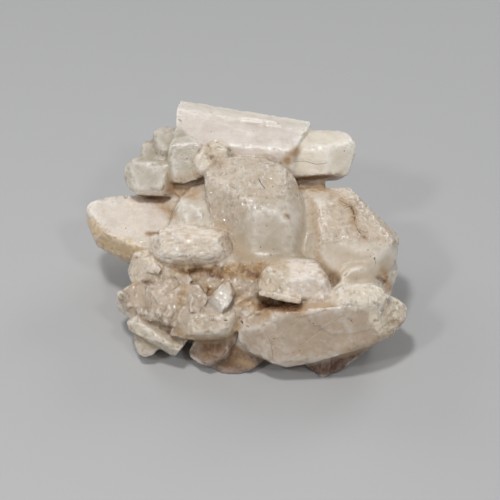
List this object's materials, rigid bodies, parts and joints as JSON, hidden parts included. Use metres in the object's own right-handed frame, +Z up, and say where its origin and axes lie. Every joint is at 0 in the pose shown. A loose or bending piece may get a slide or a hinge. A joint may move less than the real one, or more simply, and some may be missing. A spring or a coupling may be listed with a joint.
{
  "type": "quartz cluster",
  "caption": "Milky quartz crystal cluster with iron stain: blunt prisms and plates grown into each other in one piece, resting on a flat broken base.",
  "frame": {"origin": "centre of the bounding box in X and Y, on the plane of the broken base", "axes": "+Z up, square to the base; -Y towards the side seen in the picture; +X to the right in the picture, along the cluster's longest extent"},
  "size_m": [0.116, 0.0962, 0.0614],
  "materials": {
    "milky_quartz": "milky and clouded, glossy on smooth faces and etched on others, with ochre and brown iron stain in the crevices"
  },
  "bodies": {
    "root": {"quartz_cluster": "milky_quartz"}
  },
  "joints": []
}
